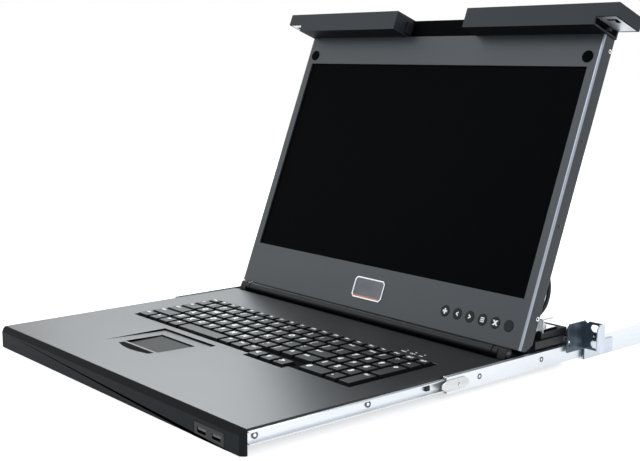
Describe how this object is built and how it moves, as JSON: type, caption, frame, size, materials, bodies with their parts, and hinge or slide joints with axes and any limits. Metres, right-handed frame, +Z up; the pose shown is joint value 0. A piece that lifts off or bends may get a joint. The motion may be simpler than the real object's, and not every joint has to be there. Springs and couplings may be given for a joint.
{
  "type": "rackmount lcd console drawer",
  "caption": "One-unit rack drawer with keyboard, touchpad and a fold-down screen, on telescopic ball slides with rack ears.",
  "frame": {"origin": "middle of the four mounting slots of the two ear brackets, on their back face, which seats on the rack posts", "axes": "+X to the user's right, +Y into the rack, +Z up"},
  "size_m": [0.4866, 0.8245, 0.3483],
  "materials": {
    "deck_paint": "satin",
    "bezel_plastic": "satin",
    "lcd_paint": "satin",
    "wing_plastic": "satin",
    "screen_glass": "semi-gloss",
    "key_plastic": "satin",
    "black_plastic": "satin",
    "pad_plastic": "satin",
    "housing_paint": "satin",
    "zinc": "zinc plated",
    "bright_steel": "bright",
    "board_green": "satin",
    "badge_silver": "brushed",
    "rubber_black": "matte"
  },
  "bodies": {
    "rack": {"right_outer_rail": "zinc", "left_outer_rail": "zinc", "right_ear_bracket": "zinc", "left_ear_bracket": "zinc", "rear_brackets": "zinc"},
    "right_middle": {"right_middle_rail": "zinc"},
    "left_middle": {"left_middle_rail": "zinc"},
    "inner_cages": {"inner_ball_cages": "bright_steel"},
    "outer_cages": {"outer_ball_cages": "bright_steel"},
    "right_lock": {"right_slide_lock": "bright_steel"},
    "left_lock": {"left_slide_lock": "bright_steel"},
    "drawer": {"right_inner_rail": "zinc", "left_inner_rail": "zinc", "drawer_pan": "housing_paint", "deck_cover": "deck_paint", "front_bezel": "bezel_plastic", "usb_carrier": "black_plastic", "usb_sockets": "bright_steel", "keyboard_base": "black_plastic", "keyboard_frame": "black_plastic", "touchpad": "pad_plastic", "touchpad_tray": "black_plastic", "hinge_barrel": "black_plastic", "hinge_brackets": "housing_paint", "hinge_pins": "bright_steel", "rear_housing": "housing_paint", "slide_screws": "bright_steel", "cable_bracket": "bright_steel"},
    "right_pad_button": {"right_pad_button": "pad_plastic"},
    "left_pad_button": {"left_pad_button": "pad_plastic"},
    "screen": {"hinge_leaves": "bright_steel", "lcd_front_frame": "lcd_paint", "lcd_back_cover": "lcd_paint", "lcd_panel": "screen_glass", "button_board": "board_green", "badge_plate": "badge_silver", "lcd_bumpers": "rubber_black", "right_wing": "wing_plastic", "left_wing": "wing_plastic", "latch_plates": "bright_steel", "lcd_cable": "rubber_black"},
    "right_bolt": {"right_latch_bolt": "bright_steel"},
    "left_bolt": {"left_latch_bolt": "bright_steel"},
    "function_keys": {"function_keys": "key_plastic"},
    "number_keys": {"number_keys": "key_plastic"},
    "upper_letter_keys": {"upper_letter_keys": "key_plastic"},
    "home_letter_keys": {"home_letter_keys": "key_plastic"},
    "enter_key": {"enter_key": "key_plastic"},
    "lower_letter_keys": {"lower_letter_keys": "key_plastic"},
    "modifier_keys": {"modifier_keys": "key_plastic"},
    "space_bar": {"space_bar": "key_plastic"},
    "arrow_keys": {"arrow_keys": "key_plastic"},
    "numpad_keys": {"numpad_keys": "key_plastic"},
    "plus_button": {"plus_button": "black_plastic"},
    "left_button": {"left_button": "black_plastic"},
    "right_button": {"right_button": "black_plastic"},
    "menu_button": {"menu_button": "black_plastic"},
    "exit_button": {"exit_button": "black_plastic"},
    "power_button": {"power_button": "black_plastic"}
  },
  "joints": [
    {"name": "drawer_slide", "type": "slide", "parent": "rack", "child": "drawer", "axis": [0, 1, 0], "range_m": [0, 0.395]},
    {"name": "right_middle_slide", "type": "slide", "parent": "rack", "child": "right_middle", "axis": [0, 1, 0], "range_m": [0, 0.1975]},
    {"name": "left_middle_slide", "type": "slide", "parent": "rack", "child": "left_middle", "axis": [0, 1, 0], "range_m": [0, 0.1975]},
    {"name": "inner_cage_slide", "type": "slide", "parent": "rack", "child": "inner_cages", "axis": [0, 1, 0], "range_m": [0, 0.29625]},
    {"name": "outer_cage_slide", "type": "slide", "parent": "rack", "child": "outer_cages", "axis": [0, 1, 0], "range_m": [0, 0.09875]},
    {"name": "right_lock_lift", "type": "hinge", "parent": "right_middle", "child": "right_lock", "pos_m": [0.2179, -0.1695, -0.01581], "axis": [1, 0, 0], "range_deg": [-4, 0], "stiffness_Nm_per_rad": 0.05, "springref_deg": 1.15},
    {"name": "left_lock_lift", "type": "hinge", "parent": "left_middle", "child": "left_lock", "pos_m": [-0.2179, -0.1695, -0.01581], "axis": [1, 0, 0], "range_deg": [-4, 0], "stiffness_Nm_per_rad": 0.05, "springref_deg": 1.15},
    {"name": "screen_hinge", "type": "hinge", "parent": "drawer", "child": "screen", "pos_m": [0, -0.0985, -0.00591], "axis": [1, 0, 0], "range_deg": [0, 111.24]},
    {"name": "right_bolt_slide", "type": "slide", "parent": "screen", "child": "right_bolt", "axis": [-1, 0, 0], "range_m": [0, 0.005], "stiffness_N_per_m": 400, "springref_m": -0.004},
    {"name": "left_bolt_slide", "type": "slide", "parent": "screen", "child": "left_bolt", "axis": [1, 0, 0], "range_m": [0, 0.005], "stiffness_N_per_m": 400, "springref_m": -0.004},
    {"name": "plus_button_press", "type": "slide", "parent": "screen", "child": "plus_button", "axis": [0, 0.9321, -0.3623], "range_m": [0, 0.0006], "stiffness_N_per_m": 1500, "springref_m": -0.0004},
    {"name": "left_button_press", "type": "slide", "parent": "screen", "child": "left_button", "axis": [0, 0.9321, -0.3623], "range_m": [0, 0.0006], "stiffness_N_per_m": 1500, "springref_m": -0.0004},
    {"name": "right_button_press", "type": "slide", "parent": "screen", "child": "right_button", "axis": [0, 0.9321, -0.3623], "range_m": [0, 0.0006], "stiffness_N_per_m": 1500, "springref_m": -0.0004},
    {"name": "menu_button_press", "type": "slide", "parent": "screen", "child": "menu_button", "axis": [0, 0.9321, -0.3623], "range_m": [0, 0.0006], "stiffness_N_per_m": 1500, "springref_m": -0.0004},
    {"name": "exit_button_press", "type": "slide", "parent": "screen", "child": "exit_button", "axis": [0, 0.9321, -0.3623], "range_m": [0, 0.0006], "stiffness_N_per_m": 1500, "springref_m": -0.0004},
    {"name": "power_button_press", "type": "slide", "parent": "screen", "child": "power_button", "axis": [0, 0.9321, -0.3623], "range_m": [0, 0.0006], "stiffness_N_per_m": 1500, "springref_m": -0.0004},
    {"name": "right_pad_button_press", "type": "slide", "parent": "drawer", "child": "right_pad_button", "axis": [0, 0, -1], "range_m": [0, 0.0008], "stiffness_N_per_m": 1000, "springref_m": -0.0005},
    {"name": "left_pad_button_press", "type": "slide", "parent": "drawer", "child": "left_pad_button", "axis": [0, 0, -1], "range_m": [0, 0.0008], "stiffness_N_per_m": 1000, "springref_m": -0.0005},
    {"name": "function_keys_press", "type": "slide", "parent": "drawer", "child": "function_keys", "axis": [0, 0, -1], "range_m": [0, 0.0018], "stiffness_N_per_m": 2500, "springref_m": -0.0008},
    {"name": "number_keys_press", "type": "slide", "parent": "drawer", "child": "number_keys", "axis": [0, 0, -1], "range_m": [0, 0.0018], "stiffness_N_per_m": 2500, "springref_m": -0.0008},
    {"name": "upper_letter_keys_press", "type": "slide", "parent": "drawer", "child": "upper_letter_keys", "axis": [0, 0, -1], "range_m": [0, 0.0018], "stiffness_N_per_m": 2500, "springref_m": -0.0008},
    {"name": "home_letter_keys_press", "type": "slide", "parent": "drawer", "child": "home_letter_keys", "axis": [0, 0, -1], "range_m": [0, 0.0018], "stiffness_N_per_m": 2500, "springref_m": -0.0008},
    {"name": "enter_key_press", "type": "slide", "parent": "drawer", "child": "enter_key", "axis": [0, 0, -1], "range_m": [0, 0.0018], "stiffness_N_per_m": 600, "springref_m": -0.0008},
    {"name": "lower_letter_keys_press", "type": "slide", "parent": "drawer", "child": "lower_letter_keys", "axis": [0, 0, -1], "range_m": [0, 0.0018], "stiffness_N_per_m": 2500, "springref_m": -0.0008},
    {"name": "modifier_keys_press", "type": "slide", "parent": "drawer", "child": "modifier_keys", "axis": [0, 0, -1], "range_m": [0, 0.0018], "stiffness_N_per_m": 2500, "springref_m": -0.0008},
    {"name": "space_bar_press", "type": "slide", "parent": "drawer", "child": "space_bar", "axis": [0, 0, -1], "range_m": [0, 0.0018], "stiffness_N_per_m": 600, "springref_m": -0.0008},
    {"name": "arrow_keys_press", "type": "slide", "parent": "drawer", "child": "arrow_keys", "axis": [0, 0, -1], "range_m": [0, 0.0018], "stiffness_N_per_m": 2500, "springref_m": -0.0008},
    {"name": "numpad_keys_press", "type": "slide", "parent": "drawer", "child": "numpad_keys", "axis": [0, 0, -1], "range_m": [0, 0.0018], "stiffness_N_per_m": 2500, "springref_m": -0.0008}
  ],
  "couplings": [
    {"joint": "right_middle_slide", "follows": "drawer_slide", "ratio": 0.5},
    {"joint": "left_middle_slide", "follows": "drawer_slide", "ratio": 0.5},
    {"joint": "inner_cage_slide", "follows": "drawer_slide", "ratio": 0.75},
    {"joint": "outer_cage_slide", "follows": "drawer_slide", "ratio": 0.25}
  ]
}
